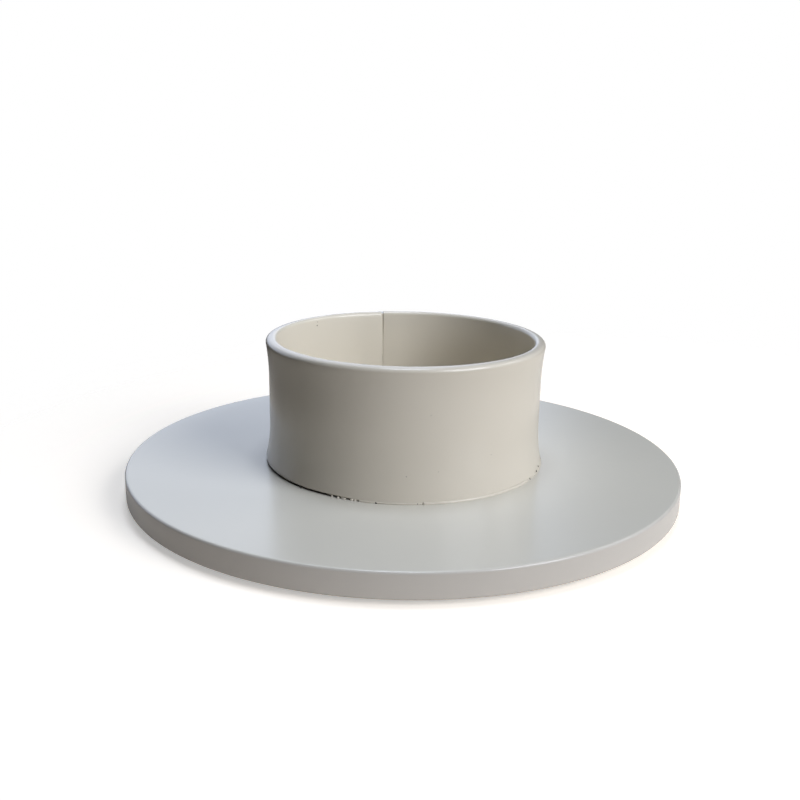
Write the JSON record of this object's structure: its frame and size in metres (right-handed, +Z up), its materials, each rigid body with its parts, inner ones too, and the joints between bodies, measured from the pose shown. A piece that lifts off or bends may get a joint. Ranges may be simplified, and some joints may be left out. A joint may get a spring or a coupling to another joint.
{
  "type": "candle holder",
  "caption": "Low candle holder: a ring of rolled flat bar stands on the middle of a thick round plate and keeps a pillar candle in place; powder-coated steel on rubber feet.",
  "frame": {"origin": "middle of the four feet, on the surface that they stand on", "axes": "+Z up along the axis of plate and ring, +Y away from the viewer of the picture, towards the back where the ring's seam is, +X to the viewer's right"},
  "size_m": [0.16, 0.16, 0.0447],
  "materials": {
    "powder_coat": "semi-gloss warm grey-beige powder coat on steel",
    "rubber": "matt moulded black rubber"
  },
  "bodies": {
    "root": {"base_plate": "powder_coat", "candle_ring": "powder_coat", "seam_weld": "powder_coat", "ring_tack_weld_1": "powder_coat", "ring_tack_weld_2": "powder_coat", "ring_tack_weld_3": "powder_coat", "ring_tack_weld_4": "powder_coat", "rubber_foot_1": "rubber", "rubber_foot_2": "rubber", "rubber_foot_3": "rubber", "rubber_foot_4": "rubber"}
  },
  "joints": []
}
